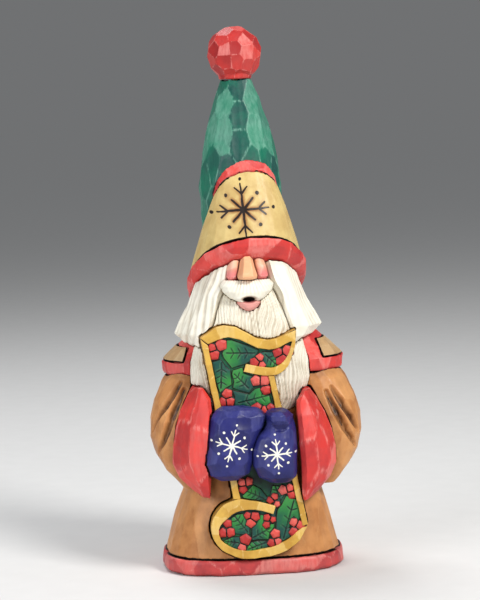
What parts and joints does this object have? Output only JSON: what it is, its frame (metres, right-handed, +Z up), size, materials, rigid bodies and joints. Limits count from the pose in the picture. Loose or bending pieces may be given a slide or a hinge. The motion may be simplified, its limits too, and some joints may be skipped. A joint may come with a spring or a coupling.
{
  "type": "carved wooden gnome figurine",
  "caption": "Standing carved and painted wooden gnome with a tall faceted hat, a long beard and mittens that hold a holly board.",
  "frame": {"origin": "on the flat underside of the hem, below the centre line of the base", "axes": "+Z up through the hat, -Y out of the face, +X towards the figure's own left hand"},
  "size_m": [0.1196, 0.1002, 0.304],
  "materials": {
    "green_paint": "teal-green acrylic, dry-brushed pale on the facet edges",
    "red_paint": "red acrylic, dry-brushed pale on the facet edges",
    "tan_paint": "thin tan stain with burnt lines",
    "robe_paint": "orange-brown acrylic, antiqued in the cuts",
    "blue_paint": "navy acrylic with small painted snowflakes",
    "white_paint": "cream-white acrylic, antiqued in the cuts",
    "skin_paint": "thin skin-coloured acrylic",
    "rose_paint": "rose acrylic",
    "gold_paint": "golden-ochre acrylic",
    "holly_paint": "holly leaves and berries painted over dark lines",
    "bare_wood": "unpainted basswood"
  },
  "bodies": {
    "root": {"hem_band": "red_paint", "robe_body": "robe_paint", "sleeve_left": "robe_paint", "sleeve_right": "robe_paint", "cuff_left": "red_paint", "cuff_right": "red_paint", "mitten_left": "blue_paint", "mitten_right": "blue_paint", "thumb_left": "blue_paint", "cape_left": "red_paint", "cape_right": "red_paint", "cape_field_left": "tan_paint", "cape_field_right": "tan_paint", "head_block": "skin_paint", "nose": "skin_paint", "cheek_left": "rose_paint", "cheek_right": "rose_paint", "moustache": "white_paint", "lower_lip": "rose_paint", "beard": "white_paint", "hair_left": "white_paint", "hair_right": "white_paint", "hair_back": "white_paint", "hat_cone": "green_paint", "hat_brim": "red_paint", "hat_flap": "tan_paint", "hat_piping": "red_paint", "pompom": "red_paint", "holly_board": "holly_paint", "rim_left": "gold_paint", "rim_top": "gold_paint", "rim_right": "gold_paint", "rim_foot": "gold_paint", "pompom_dowel": "bare_wood", "hat_dowel": "bare_wood", "neck_dowel": "bare_wood", "arm_dowel_left": "bare_wood", "arm_dowel_right": "bare_wood", "board_peg_upper": "bare_wood", "board_peg_lower": "bare_wood"}
  },
  "joints": []
}
